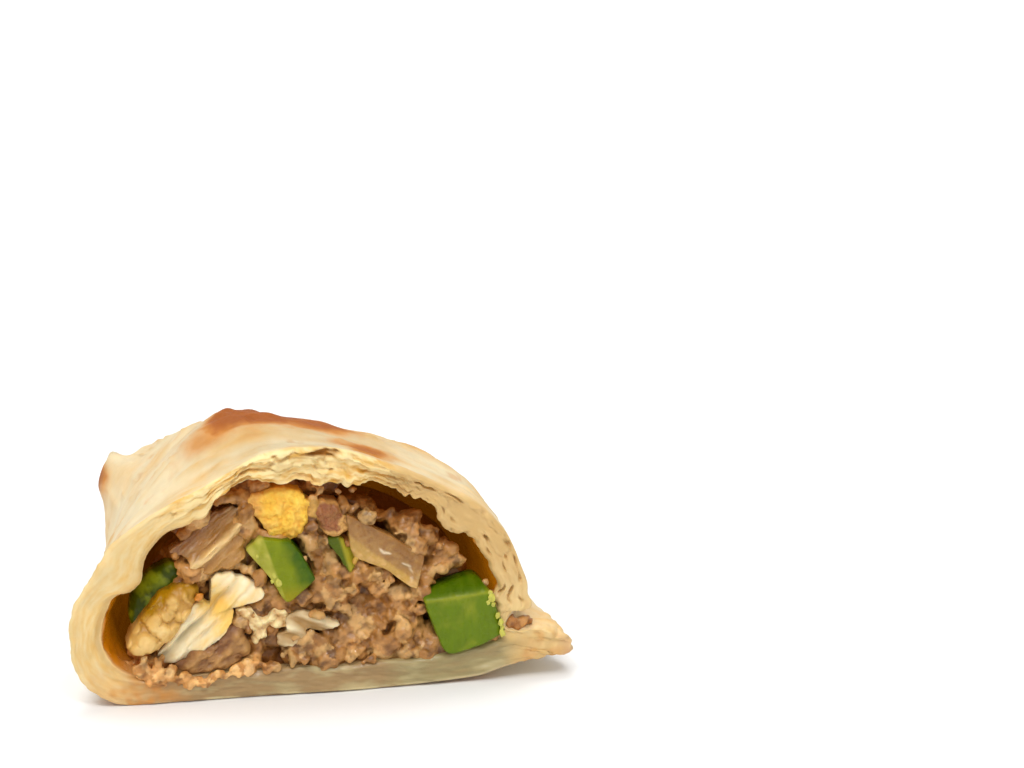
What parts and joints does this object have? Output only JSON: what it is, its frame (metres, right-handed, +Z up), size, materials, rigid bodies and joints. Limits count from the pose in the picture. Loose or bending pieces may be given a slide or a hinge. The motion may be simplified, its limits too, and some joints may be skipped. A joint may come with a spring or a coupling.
{
  "type": "beef empanada half",
  "caption": "Baked beef empanada cut across: a folded dough crust round minced beef with green pepper, boiled egg, olive and onion, resting flat with the cut face forward.",
  "frame": {"origin": "on the surface it stands on, in the middle of the flat underside, 20 mm behind the cut face", "axes": "+X across the cut from the folded side to the seam's lip, +Y from the cut face back to the pinched tail, +Z up"},
  "size_m": [0.077, 0.0587, 0.0399],
  "materials": {
    "crust": "baked wheat dough, cream with orange-brown patches, dry and matte",
    "beef": "cooked minced beef, moist, with small highlights",
    "chunk": "browned beef chunk, moist",
    "pepper": "green pepper, glossy skin",
    "pepper_pale": "green pepper with a pale inner strip, glossy",
    "pepper_dark": "green pepper in shade, glossy",
    "yolk": "crumbly boiled egg yolk, matte",
    "egg_white": "boiled egg white, smooth and moist",
    "olive": "olive flesh with green skin, moist",
    "onion": "translucent cooked onion, wet"
  },
  "bodies": {
    "root": {"crust": "crust", "filling": "beef", "beef_chunk_top": "chunk", "beef_chunk_left": "chunk", "pepper_right": "pepper", "pepper_small": "pepper", "pepper_centre": "pepper_pale", "pepper_left": "pepper_dark", "egg_yolk": "yolk", "egg_white_left": "egg_white", "egg_white_centre": "egg_white", "egg_white_crumb": "egg_white", "olive": "olive", "onion_slab": "onion", "onion_fold": "onion"}
  },
  "joints": []
}
